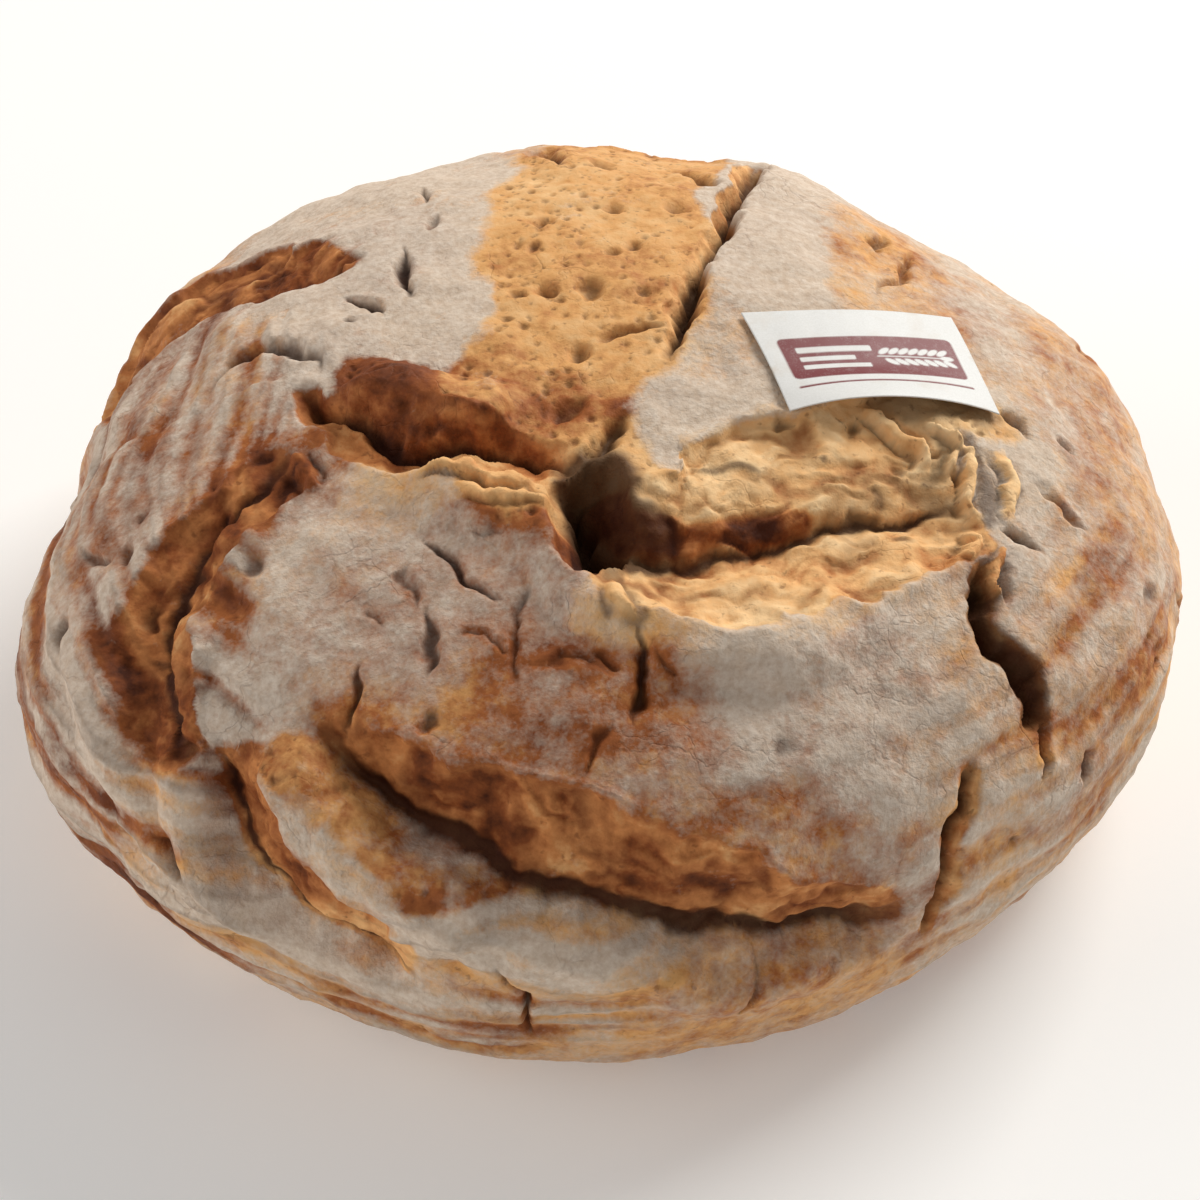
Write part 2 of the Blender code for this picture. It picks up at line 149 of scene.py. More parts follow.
# ---------------------------------------------------------------------------------------------------------
# Finer forms
# ---------------------------------------------------------------------------------------------------------
# A crack is a narrow groove: its route, how deep it is and how wide half of it is.
CRACKS = [
    # over the front lobe
    ([(-33, -42), (-29, -50), (-24, -56), (-14, -63)], 2.4, 0.9),
    ([(-23, -44), (-14, -46)], 1.0, 0.7),
    ([(-35, -50), (-36, -56), (-33, -62)], 1.2, 0.8),
    ([(-31, -59), (-30, -69), (-33, -79)], 2.2, 1.1),
    ([(-13, -53), (-13, -66), (-14, -80)], 1.4, 0.8),
    ([(-13, -74), (-3, -74), (6, -77)], 1.2, 0.7),
    ([(0, -73), (7, -76)], 1.4, 0.8),
    ([(8, -66), (10, -73), (10, -80), (10, -87)], 3.0, 1.3),
    ([(12, -72), (18, -76)], 1.2, 0.8),
    ([(5, -84), (2, -90), (-1, -97)], 1.4, 0.8),
    ([(-50, -86), (-47, -78), (-43, -71)], 2.2, 1.1),
    ([(-26, -66), (-18, -70), (-13, -74)], 0.8, 0.6),
    ([(-45, -60), (-38, -66)], 0.8, 0.6),
    # on the right
    ([(77, -38), (79, -42), (82, -47), (84, -51)], 2.0, 0.9),
    ([(93, -68), (96, -73), (99, -81)], 2.6, 1.1),
    ([(108, -70), (112, -73), (114, -78)], 2.4, 1.7),
    ([(84, -17), (93, -21), (99, -25)], 1.4, 0.8),
    ([(79, -2), (82, -3), (85, -6)], 3.0, 1.4),
    ([(89, -4), (95, -5)], 1.4, 0.9),
    ([(78, -31), (80, -32), (84, -33), (89, -35)], 3.6, 1.5),
    ([(66, 56), (63, 51), (62, 46)], 2.2, 1.2),
    ([(72, 54), (69, 45), (63, 34), (59, 25)], 1.8, 1.0),
    ([(104, 32), (109, 38), (113, 43)], 1.8, 1.1),
    ([(20, -30), (28, -28), (37, -26)], 2.4, 1.3),
    ([(7, -15), (5, -20), (3, -25), (0, -30)], 3.6, 1.8),
    # at the back left
    ([(-38, 42), (-37, 30), (-35, 20)], 3.6, 1.4),
    ([(-51, 24), (-47, 21), (-43, 16)], 3.0, 1.4),
    ([(-37, 72), (-36, 60)], 1.6, 1.0),
    ([(-33, 56), (-33, 46)], 1.4, 1.0),
    ([(-80, 4), (-76, 10), (-70, 12), (-62, 10), (-56, 7), (-53, 0)], 2.8, 1.2),
    ([(-104, -28), (-99, -32), (-93, -35)], 1.8, 1.1),
    ([(-106, -42), (-104, -50)], 2.0, 1.6),
    ([(-91, -92), (-88, -99), (-86, -106)], 2.2, 1.1),
    # across the belly
    ([(-21, -130), (-16, -140), (-15, -150), (-12, -158)], 2.6, 0.9),
    ([(38, -131), (40, -138), (38, -148)], 1.8, 0.9),
    ([(-96, 108), (-88, 118), (-84, 132)], 2.0, 1.0),
    ([(84, 118), (88, 132), (84, 146)], 2.0, 1.0),
    ([(128, -20), (140, -18), (150, -22)], 1.8, 0.9),
    # through the plateau
    ([(2, 4), (4, 8), (9, 11), (16, 10)], 2.0, 1.1),
    ([(-16, 92), (-12, 88), (-8, 84), (-7, 77)], 2.6, 1.4),
    ([(20, 82), (26, 76), (29, 70)], 2.4, 1.3),
]

# A pit is a small round hollow: its place, radius and depth.
PITS = [
    (-9, 48, 2.4, 2.4), (-8, 22, 2.6, 3.0), (2, 23, 3.0, 2.6), (10, 39, 2.2, 2.4), (6, 56, 2.2, 2.2),
    (19, 58, 2.6, 2.2), (-2, 2, 2.8, 2.8), (-4, -13, 2.8, 2.8), (-15, 20, 1.8, 2.0), (26, 74, 3.0, 2.6),
    (-11, 36, 1.6, 1.6), (13, 22, 1.8, 1.8), (3, 79, 2.0, 1.6), (6, 37, 1.8, 1.8), (-11, 92, 4.0, 5.0),
    (-47, -12, 2.0, 2.2), (-41, -6, 2.2, 2.0), (-30.5, -86.5, 2.0, 2.0), (-90, -34, 2.2, 2.4), (-59, -92, 1.4, 1.0),
    (-50, 14, 1.4, 1.2), (116, -32, 3.4, 1.2), (-84, -49, 2.6, 3.0), (-79, -80, 3.2, 3.4), (-84, -58, 1.8, 2.2),
    (-63, -46, 2.2, 2.0), (-89, -25, 1.6, 1.6), (38, -16, 1.8, 2.2), (51, -14, 2.0, 2.6), (60, -22, 2.0, 2.8),
    (55, -30, 2.2, 2.2), (72, -22, 1.8, 2.4), (62, -38, 2.4, 2.4), (66, -17, 1.6, 2.2), (46, -22, 1.6, 1.6),
    (98, -95, 1.8, 0.9), (40, -90, 2.4, 0.7),
]

# A strand is a string of crumb that still spans a tear: its route, height and half width.
STRANDS = [
    ([(73, -13), (75, -19), (73, -26), (75, -31)], 2.4, 1.0),
    ([(78, -12), (81, -19), (80, -26), (82, -31)], 2.2, 0.9),
    ([(68, -10), (71, -15), (69, -22)], 1.8, 1.1),
    ([(62, -10), (69, -13), (77, -16)], 1.6, 0.9),
    ([(50, -9), (57, -12), (63, -17), (64, -24)], 1.6, 1.1),
    ([(72, -31), (73, -36), (71, -43)], 1.6, 1.1),
    ([(79, -36), (78, -42), (80, -49)], 1.8, 1.2),
    ([(4, -58), (6, -63), (8, -68)], 1.6, 1.4),
    ([(-34, -31), (-24, -32), (-13, -35)], 2.0, 1.1),
    ([(-26, -36), (-16, -38), (-6, -42)], 1.6, 1.1),
    ([(-57, -20), (-54, -25), (-52, -30)], 2.2, 1.6),
]

# The crust is painted in order. A lane covers a strip along a route and an oval covers an oval patch, each with
# a soft edge as wide as it says.
Lane = namedtuple("Lane", "route half_width amount edge")
Oval = namedtuple("Oval", "centre radii amount edge")

FLOUR_AT_FIRST = 0.50
FLOUR = [
    Oval((0, -85), (72, 38), 0.46, 10),
    Oval((-30, -52), (30, 24), 0.56, 8),
    # Partly flour, partly painted light: raised to lighten the front lobe's right side, which faces the light.
    Oval((40, -84), (40, 16), 0.92, 8),
    Oval((60, -66), (18, 14), 1.0, 8),
    Oval((-2, -84), (22, 13), 0.32, 8),
    Oval((70, 10), (60, 95), 0.72, 10),
    Oval((44, 62), (17, 46), 1.15, 8),
    Oval((94, -42), (19, 28), 0.84, 9),
    Oval((124, -20), (26, 80), 0.50, 16),
    Oval((-60, 18), (42, 34), 1.0, 10),
    Oval((-48, 62), (30, 50), 0.88, 10),
    Oval((-104, -40), (36, 80), 0.50, 14),
    Oval((-62, -56), (12, 20), 0.72, 8),
    Oval((62, 44), (11, 20), 0.34, 8),
    Oval((64, 24), (10, 10), 0.46, 8),
    Oval((112, 24), (12, 16), 0.46, 10),
    Lane([(106, -64), (104, -95), (74, -136)], 20, 0.46, 14),
    Lane([(-60, -142), (0, -154), (70, -148)], 15, 0.36, 10),
    Lane([(-60, -128), (-30, -146), (-6, -146)], 8, 0.62, 8),
    Lane([(-20, -101), (20, -103), (60, -108)], 4, 0.48, 8),
    Lane([(-66, -82), (-61, -90), (-54, -101), (-44, -111), (-30, -121), (-22, -127)], 4.5, 0.74, 4),
    Lane([(-60, -86), (-55, -93), (-48, -101), (-38, -110), (-28, -117)], 2.0, 0.15, 2.5),
    Lane([(-72, -52), (-79, -64), (-80, -80), (-82, -96), (-80, -108)], 3.5, 0.80, 4),
    Lane([(-98, -46), (-97, -62), (-94, -84)], 4, 0.78, 5),
    Lane([(-113, -48), (-112, -66)], 5, 0.66, 6),
    # Partly flour, partly painted light: lightens a patch low on the left that the rolls shade.
    Oval((-88, -112), (16, 26), 0.62, 8),
    Lane([(-60, -22), (-67, -34), (-71, -48), (-75, -62)], 6.5, 0.34, 4),
    Lane([(-4, -28), (0, 20), (2, 60), (10, 92)], 19.5, 0.05, 5),
    Lane([(-45, -3), (-37, -7), (-24, -14), (-6, -22)], 7.5, 0.03, 3),
    # Painted shadow under the label's lifted front edge: no flour here.
    Lane([(56, -7), (66, -5), (78, -5)], 3.5, 0.05, 3),
    Oval((24, -18), (14, 11), 0.84, 5),
]

TOAST_AT_FIRST = 0.36
TOAST = [
    Lane([(-4, -24), (0, 20), (2, 60), (10, 92)], 22, 0.29, 8),
    Oval((0, -72), (62, 34), 0.62, 10),
    Lane([(-60, 2), (-57, -8), (-56, -16)], 5, 0.66, 5),
    Lane([(-46, -4), (-36, -9), (-24, -16)], 10, 0.76, 5),
    Lane([(-18, -14), (-4, -20)], 9, 0.46, 6),
    Lane([(-54, -8), (-44, -15), (-34, -20), (-22, -23), (-12, -26)], 4.5, 0.74, 3),
    Oval((-106, -44), (40, 70), 0.56, 14),
    Lane([(-60, -24), (-68, -36), (-73, -50), (-76, -62)], 7, 0.66, 4),
    Lane([(6, -16), (6, -22), (2, -29)], 2, 0.74, 3),
    # Painted shadow under the label's lifted front edge: toasted dark here.
    Lane([(56, -7), (66, -5), (78, -5)], 3.5, 0.80, 3),
    Lane([(-57, -22), (-72, -32), (-84, -48), (-87, -66), (-84, -84)], 12, 0.56, 8),
    Lane([(-72, -78), (-73, -98), (-66, -117), (-50, -130), (-32, -136)], 9, 0.68, 7),
    # Partly painted light: less toast lightens a patch low on the left that the rolls shade.
    Oval((-90, -112), (16, 26), 0.28, 8),
    Lane([(-104, 34), (-84, 46), (-66, 44), (-50, 42)], 16, 0.62, 8),
    Lane([(-50, -80), (-20, -98), (20, -108), (66, -110)], 10, 0.50, 5),
    Lane([(-42, -92), (-20, -105), (0, -113), (20, -119), (64, -118)], 5, 0.62, 6),
    Lane([(-60, -86), (-55, -93), (-48, -101), (-38, -110), (-28, -117)], 2.5, 0.46, 3),
    Oval((112, 0), (32, 80), 0.44, 12),
    Lane([(14, -36), (40, -26), (72, -16)], 16, 0.12, 8),
    Lane([(3, -36), (8, -42), (18, -47), (30, -45), (42, -38)], 1.5, 0.66, 2.5),
    Lane([(10, -60), (30, -60), (56, -46)], 9, 0.18, 5),
    Lane([(-36, -30), (-22, -33), (-8, -38)], 5, 0.32, 4),
    Lane([(-60, -142), (0, -154), (80, -148)], 22, 0.38, 10),
]

# Painted shade beyond what the tears' feet give: the depths of the centre hole, thin lines in the seams and the gaps
# between strings, and the shadow under the label's lifted front edge.
PAINTED_SHADE = [
    Lane([(1, -34), (4, -41), (10, -47)], 6.5, 0.95, 3),
    Lane([(8, -46), (18, -49), (29, -47), (42, -40), (56, -33)], 0.5, 0.85, 1.2),
    # Painted shadow under the label's lifted front edge.
    Lane([(56, -8), (66, -6), (77, -5)], 1.8, 0.6, 2.0),
    Lane([(66, -12), (68, -18), (66, -24)], 0.8, 0.6, 1.2),
    Lane([(74, -12), (77, -20), (77, -30)], 0.8, 0.7, 1.2),
    Lane([(58, -24), (64, -27), (70, -27)], 0.8, 0.6, 1.2),
    Lane([(5, -54), (6, -60), (8, -66)], 1.4, 0.7, 1.6),
]

# Where the skin was pulled into long wrinkles that run round the loaf.
PULLED = [
    Oval((-104, -66), (32, 74), 1.0, 12),
    Oval((-84, -8), (26, 30), 0.7, 12),
    Lane([(-60, -24), (-68, -36), (-73, -50), (-76, -62)], 6, 0.9, 4),
    Oval((-40, -138), (46, 22), 0.8, 12),
    Oval((112, -84), (34, 50), 0.5, 16),
]


def smooth(x):
    """0 below 0, 1 above 1, with an easy turn between."""
    x = np.clip(x, 0.0, 1.0)
    return x * x * (3.0 - 2.0 * x)


def profile():
    """The loaf's half section from the crown to the middle of its base: length along it, radius and height."""
    dome = np.linspace(0.0, math.pi / 2, PROFILE_POINTS)
    under = np.linspace(0.0, math.pi / 2, PROFILE_POINTS)[1:]
    drawn_in = BELLY_RADIUS - BASE_RADIUS
    dome_height = LOAF_HEIGHT - BELLY_HEIGHT
    radius = np.concatenate([
        BELLY_RADIUS * np.sin(dome) ** (2 / DOME_ROUNDNESS),
        BASE_RADIUS + drawn_in * np.clip(np.cos(under), 0, 1) ** (2 / UNDERSIDE_ROUNDNESS),
        [0.0],
    ])
    height = np.concatenate([
        BELLY_HEIGHT + dome_height * np.clip(np.cos(dome), 0, 1) ** (2 / DOME_FLATNESS),
        BELLY_HEIGHT * (1.0 - np.sin(under) ** (2 / UNDERSIDE_ROUNDNESS)),
        [0.0],
    ])
    height[-2] = 0.0
    length = np.concatenate([[0.0], np.cumsum(np.hypot(np.diff(radius), np.diff(height)))])
    return length, radius, height


LENGTH, RADIUS, HEIGHT = profile()
TO_BELLY = LENGTH[PROFILE_POINTS - 1]
TO_BASE_RIM = LENGTH[-2]
TO_BASE_MIDDLE = LENGTH[-1]


def plain_crust(u, v):
    """Points of the loaf before it tore, for places on the crust map."""
    along = np.hypot(u, v)
    turn = np.arctan2(v, u)
    wave = np.zeros_like(turn)
    for count, (cosine, sine) in OUTLINE_WAVES.items():
        wave += cosine * np.cos(count * turn) + sine * np.sin(count * turn)
    radius = np.interp(along, LENGTH, RADIUS) * (1.0 + wave * np.clip(along / OUTLINE_FULL_AT, 0, 1))
    height = np.interp(along, LENGTH, HEIGHT)
    return np.stack([radius * np.cos(turn), radius * np.sin(turn), height], axis=-1)


def outward(u, v):
    """Unit normals of the plain crust."""
    step = 0.5
    across = plain_crust(u + step, v) - plain_crust(u - step, v)
    back = plain_crust(u, v + step) - plain_crust(u, v - step)
    normal = np.cross(across, back)
    return normal / np.linalg.norm(normal, axis=-1, keepdims=True)


def curve_through(points, steps=6):
    """A smooth curve through the points (Catmull-Rom), as a polyline."""
    knots = np.array(points, dtype=float)
    knots = np.vstack([2 * knots[0] - knots[1], knots, 2 * knots[-1] - knots[-2]])
    line = []
    for a, b, c, d in zip(knots, knots[1:], knots[2:], knots[3:]):
        for t in np.arange(steps) / steps:
            line.append(0.5 * (2 * b + (c - a) * t + (2 * a - 5 * b + 4 * c - d) * t ** 2
                               + (3 * b - a - 3 * c + d) * t ** 3))
    line.append(knots[-2])
    return np.array(line)


def locate(points, u, v, reach):
    """Which places lie within reach of a route's box, and for those the distance from the route (positive on its
    left), how far along it they are, and the route's length."""
    line = curve_through(points)
    low = line.min(axis=0) - reach
    high = line.max(axis=0) + reach
    here = np.flatnonzero((u > low[0]) & (u < high[0]) & (v > low[1]) & (v < high[1]))
    u = u[here]
    v = v[here]
    nearest = np.full(u.shape, np.inf)
    side = np.ones_like(u)
    along = np.zeros_like(u)
    passed = 0.0
    for start, end in zip(line, line[1:]):
        run = end - start
        size = math.hypot(run[0], run[1])
        t = np.clip(((u - start[0]) * run[0] + (v - start[1]) * run[1]) / size ** 2, 0, 1)
        off_u = u - start[0] - t * run[0]
        off_v = v - start[1] - t * run[1]
        distance = np.hypot(off_u, off_v)
        closer = distance < nearest
        nearest[closer] = distance[closer]
        side[closer] = np.where(run[0] * off_v - run[1] * off_u < 0, -1.0, 1.0)[closer]
        along[closer] = passed + (t * size)[closer]
        passed += size
    return here, nearest * side, along, passed


def fade_at_ends(share, part=0.15):
    """1 along a route and 0 at its two ends."""
    return smooth(share / part) * smooth((1.0 - share) / part)


def bank_width(bank, share):
    return np.interp(share, MIDDLE_FROM_TO, (bank.start, bank.middle, bank.middle, bank.end))


def bank_cut(bank, away, width):
    """The share of a tear's depth that is cut at a distance from its foot."""
    if bank.whole:
        return 1.0 - smooth(away / width)
    leap = bank.leap * smooth(away / FOOT_WIDTH)
    climb = (1.0 - bank.leap - LIP_SHARE) * np.clip(away / width, 0, 1) ** 1.2
    return (1.0 - leap - climb) * (1.0 - smooth((away - width) / CRUST_EDGE))


def lumps(places, sizes, seed):
    """Smooth noise from -1 to 1 at rows of coordinates, with lumps as long as the sizes along each of them."""
    shifted = places / np.asarray(sizes, float) + np.array([seed * 17.3, seed * 5.7, seed * 11.1])
    return np.array([noise.noise(place) for place in shifted.tolist()])


def cells(places, sizes, seed):
    """Distances to the nearest and the next cell middle, as shares of a cell, at rows of coordinates."""
    shifted = places / np.asarray(sizes, float) + np.array([seed * 13.1, seed * 7.9, seed * 3.3])
    nearest = np.array([noise.voronoi(place)[0][:2] for place in shifted.tolist()]).reshape(-1, 2)
    return nearest[:, 0], nearest[:, 1]


class Crust:
    """Places on the crust map, with the relief and the paint that they carry."""

    HALO_REACH = 7.0
    CURL_HEIGHT = 1.1
    CURL_WIDTH = 1.7
    BARE_FOOT = 0.5

    def __init__(self, u, v):
        self.u = u
        self.v = v
        self.plain = plain_crust(u, v)
        self.rise = np.zeros_like(u)
        self.cut = np.zeros_like(u)
        self.torn = np.zeros_like(u)
        # How dark each place is painted: shade in grooves, cracks, pits, pores and crevices and the shadow under the
        # label's edge, all painted, with some real scorching at the tears' feet and dark streaks along the pulled
        # wrinkles.
        self.dark = np.zeros_like(u)
        self.halo = np.zeros_like(u)
        self.rough = np.zeros_like(u)
        # The torn crumb's grain runs along its tear: how far across and along the tear each place is.
        self.grain = np.zeros((len(u), 3))
        # Routes and paint are looked up at places that wander a little, so that no edge runs straight.
        self.wander_u = u.copy()
        self.wander_v = v.copy()
        for size, reach, seed in ((14.0, 2.4, 10), (5.5, 1.7, 20), (2.4, 0.8, 30)):
            self.wander_u += reach * self.noise(size, seed)
            self.wander_v += reach * self.noise(size, seed + 5)

    def noise(self, size, seed):
        """Smooth noise from -1 to 1 over the crust."""
        return lumps(self.plain, size, seed)

    def locate(self, route, reach):
        return locate(route, self.wander_u, self.wander_v, reach)

    def add_main_forms(self):
        here, distance, along, length = self.locate(TEARS["top_crack"].route, LOBE_STEP_REACH)
        right_of = -distance
        stand = smooth(right_of / LOBE_STEP_EDGE) * (1.0 - smooth(right_of / LOBE_STEP_REACH))
        self.rise[here] += LOBE_STEP * stand * fade_at_ends(along / length, 0.3)
        for swelling in SWELLINGS.values():
            away = ((self.u - swelling.centre[0]) / swelling.radii[0]) ** 2
            away += ((self.v - swelling.centre[1]) / swelling.radii[1]) ** 2
            self.rise += swelling.height * np.clip(1.0 - away, 0, 1) ** 2
        rolls = np.zeros_like(self.u)
        for ridge in RIDGES.values():
            here, distance, along, length = self.locate(ridge.route, ridge.half_width)
            across = np.clip(1.0 - (distance / ridge.half_width) ** 2, 0, 1)
            height = ridge.height * fade_at_ends(along / length, 0.25) * across ** 1.5
            rolls[here] = np.maximum(rolls[here], height)
        self.rise += rolls
        for tear in TEARS.values():
            self.add_tear(tear)

    def add_tear(self, tear):
        """Cuts a tear, and notes where its banks are torn, where its foot is dark and where its edges curl up."""
        widest = max(max(bank[:3]) for bank in (tear.left, tear.right)) + self.HALO_REACH + CRUST_EDGE
        here, distance, along, length = self.locate(tear.route, widest)
        share = along / length
        ends = fade_at_ends(share)
        on_left = distance > 0
        away = np.abs(distance)
        width = np.where(on_left, bank_width(tear.left, share), bank_width(tear.right, share))
        cut = np.where(on_left, bank_cut(tear.left, away, width), bank_cut(tear.right, away, width))
        self.cut[here] = np.maximum(self.cut[here], tear.depth * ends * cut)
        width = np.where(np.where(on_left, tear.left.whole, tear.right.whole), self.BARE_FOOT, width)
        bare = (1.0 - smooth((away - width) / CRUST_EDGE)) * smooth(ends * 3.0)
        ours = bare > self.torn[here]
        owned = here[ours]
        self.grain[owned] = np.stack([away, along, np.full_like(along, len(tear.route))], axis=-1)[ours]
        self.rough[owned] = tear.rough
        self.torn[here] = np.maximum(self.torn[here], bare)
        # Painted shade: the foot and lower bank are darkened as the groove's shade, with some real scorching.
        shade_and_scorch_reach = np.where(on_left, tear.left.dark, tear.right.dark)
        foot = 1.0 - smooth((away - 0.5 * shade_and_scorch_reach) / (0.5 * shade_and_scorch_reach + 0.8))
        self.dark[here] = np.maximum(self.dark[here], foot * np.sqrt(ends))
        wide = np.clip(width / 8.0, 0.25, 1) * smooth(ends * 2.0)
        beside = 1.0 - smooth((away - width) / self.HALO_REACH)
        self.halo[here] = np.maximum(self.halo[here], beside * wide)
        curl = np.exp(-((away - width - 1.2 * self.CURL_WIDTH) / self.CURL_WIDTH) ** 2)
        self.rise[here] += self.CURL_HEIGHT * curl * np.clip(wide - 0.25, 0, 1)

    def add_cracks(self):
        for route, depth, half_width in CRACKS:
            here, distance, along, length = self.locate(route, half_width * 5)
            away = np.abs(distance)
            ends = fade_at_ends(along / length, 0.35)
            narrow = half_width * (0.35 + 0.65 * ends)
            self.cut[here] = np.maximum(self.cut[here], depth * smooth(1.0 - away / (narrow * 1.6)) * ends)
            # Painted shade: a crack is painted darker the deeper it is.
            self.dark[here] = np.maximum(self.dark[here], min(0.95, 0.32 * depth) * smooth(1.3 - away / narrow) * np.sqrt(ends))
            self.halo[here] = np.maximum(self.halo[here], 0.6 * smooth(1.5 - away / (narrow * 2.6)) * ends)
            self.rise[here] += 0.25 * np.exp(-((away - 2.6 * narrow) / narrow) ** 2) * ends
        for u, v, radius, depth in PITS:
            away = np.hypot(self.wander_u - u, self.wander_v - v) / radius
            self.cut = np.maximum(self.cut, self.cut * 0.7 + 0.7 * depth * smooth(1.35 - away))
            # Painted shade in each pit.
            self.dark = np.maximum(self.dark, 0.8 * smooth(1.15 - away))
            self.halo = np.maximum(self.halo, 0.5 * smooth(2.2 - away))

    def add_strands(self):
        for route, height, half_width in STRANDS:
            here, distance, along, length = self.locate(route, half_width * 2.5)
            ends = fade_at_ends(along / length, 0.25)
            away = np.abs(distance)
            string = smooth(1.4 - away / half_width) * ends
            beside = np.exp(-((away - 1.7 * half_width) / (0.5 * half_width)) ** 2) * ends
            self.cut[here] *= 1.0 - 0.5 * string
            self.rise[here] += height * (0.7 * string - 0.35 * beside)
            # Painted shade in the gaps beside each string, taken off the string itself.
            self.dark[here] = np.maximum(self.dark[here] * (1.0 - string), 0.6 * beside)
            self.torn[here] = np.maximum(self.torn[here], string)

    def coats(self, coats, first, u, v):
        """Lays the coats over each other in order."""
        amount = np.full_like(self.u, first)
        for coat in coats:
            if isinstance(coat, Lane):
                here, distance, along, length = locate(coat.route, u, v, coat.half_width + coat.edge)
                cover = 1.0 - smooth((np.abs(distance) - coat.half_width) / coat.edge)
            else:
                here = np.arange(len(u))
                away = np.hypot((u - coat.centre[0]) / coat.radii[0], (v - coat.centre[1]) / coat.radii[1])
                cover = 1.0 - smooth((away - 1.0) * min(coat.radii) / coat.edge)
            amount[here] += (coat.amount - amount[here]) * cover
        return amount

    def paint(self):
        """How floured and how browned each place is, and how far its skin was pulled into wrinkles."""
        u = self.wander_u + 5.0 * self.noise(17.0, 41)
        v = self.wander_v + 5.0 * self.noise(17.0, 43)
        self.flour = self.coats(FLOUR, FLOUR_AT_FIRST, u, v)
        self.toast = self.coats(TOAST, TOAST_AT_FIRST, u, v)
        self.pulled = self.coats(PULLED, 0.12, u, v)
        # Painted shade in the deepest places and gaps, and a painted shadow under the label's lifted front edge.
        self.dark = np.maximum(self.dark, self.coats(PAINTED_SHADE, 0.0, self.wander_u, self.wander_v))

    def add_skin(self):
        """Undulations of the whole skin, and the long wrinkles where it was pulled."""
        whole = 1.0 - self.torn * self.rough
        under_label = label_footprint(self.u, self.v)
        calm = 1.0 - 0.8 * under_label
        skin = 1.3 * self.noise(21.0, 1) + 0.7 * self.noise(9.0, 2) + 0.32 * self.noise(4.4, 3)
        skin += 0.14 * self.noise(2.2, 4)
        pebbles = 0.5 - np.abs(self.noise(5.5, 6)) * 2.0
        self.rise += (skin + 0.18 * pebbles * whole) * calm
        ring = np.stack([np.hypot(self.u, self.v), np.arctan2(self.v, self.u) * 95.0, np.zeros_like(self.u)], axis=-1)
        ring[:, 0] += 5.0 * self.noise(24.0, 12)
        coarse = lumps(ring, (6.5, 42.0, 1.0), 13)
        fine = lumps(ring, (2.6, 19.0, 1.0), 14)
        wrinkle = 1.0 - 2.4 * np.abs(lumps(ring, (4.2, 30.0, 1.0), 15))
        self.rise += self.pulled * whole * (1.6 * coarse + 0.6 * fine + 0.45 * wrinkle) * calm
        self.flour += self.pulled * (0.8 * coarse + 0.7 * fine) - 0.20 * self.halo
        self.toast += 0.5 * self.pulled * np.clip(-coarse, 0, 1) + 0.05 * self.halo
        self.dark = np.maximum(self.dark, 0.34 * self.pulled * smooth(wrinkle * 2.2 - 1.2))

    def add_crumb(self):
        """The rough crumb where it is torn: chunks with crevices between them, and fibres along the tear."""
        torn = np.flatnonzero(self.torn > 0.02)
        places = self.grain[torn] + 2.0 * np.stack([self.noise_at(torn, 6.0, 50), self.noise_at(torn, 6.0, 51),
                                                    np.zeros(len(torn))], axis=-1)
        rough = self.rough[torn]
        nearest, following = cells(places, (8.0, 14.0, 1.0), 1)
        chunk = smooth((following - nearest) * 2.6)
        small_nearest, small_following = cells(places, (3.6, 6.0, 1.0), 2)
        small_chunk = smooth((small_following - small_nearest) * 2.6)
        fibres = 1.0 - 2.4 * np.abs(lumps(places, (2.2, 9.0, 1.0), 7))
        heave = lumps(places, (8.0, 13.0, 1.0), 8)
        chosen = smooth(self.noise_at(torn, 9.0, 52) * 2.0 + 0.6)
        relief = rough * (2.6 * heave + 1.3 * (chunk - 0.8) * chosen + 0.45 * (small_chunk - 0.8))
        relief += (0.30 + 0.30 * rough) * fibres
        amount = self.torn[torn]
        self.rise[torn] += amount * relief
        # Painted shade: the crevices between chunks are painted dark and browner, and the raised crumb paler.
        crevice = np.maximum((1.0 - chunk) * chosen * rough, 0.3 * (1.0 - small_chunk) * rough)
        self.dark[torn] = np.maximum(self.dark[torn], amount * np.clip(crevice, 0, 0.85))
        self.toast[torn] += amount * (-0.16 * relief + 0.30 * crevice)

    def noise_at(self, some, size, seed):
        return lumps(self.plain[some], size, seed)

    def add_pores(self, where, size, depth):
        """Round pores scattered over the places where it says."""
        some = np.flatnonzero(where > 0.05)
        nearest, following = cells(self.plain[some], size, 5)
        kept = smooth(self.noise_at(some, size * 2.5, 60) * 3.0 + 0.7)
        pore = smooth((0.36 - nearest) / 0.22) * where[some] * kept
        self.rise[some] -= depth * pore
        # Painted shade inside each pore.
        self.dark[some] = np.maximum(self.dark[some], 0.55 * pore)

    def dress(self):
        self.add_main_forms()
        self.add_cracks()
        self.paint()
        self.add_skin()
        self.add_crumb()
        self.add_strands()
        bare = smooth((0.25 - self.flour) * 6.0) * (1.0 - self.torn)
        self.add_pores(bare, 3.6, 0.6)
        self.add_pores(bare, 2.0, 0.3)
        self.flour *= 1.0 - smooth(self.torn * 1.3)

    def points(self):
        calm = smooth((TO_BASE_RIM - np.hypot(self.u, self.v)) / RIM_CALM)
        relief = (self.rise - self.cut) * calm
        points = self.plain + outward(self.u, self.v) * relief[:, None]
        points[:, 2] = np.maximum(points[:, 2], 0.0)
        return points


# ---------------------------------------------------------------------------------------------------------
# Meshes
# ---------------------------------------------------------------------------------------------------------
FINE_GRID = 500
LOAF_FACES = 196000

# The label's place on the crust map, as in the solid.
LABEL_CENTRE = (55.0, 3.7)
LABEL_WIDTH = 43.0
LABEL_DEPTH = 27.0
LABEL_TURN = math.radians(14.5)
LABEL_THICKNESS = 0.25
LABEL_CELLS = (172, 112)


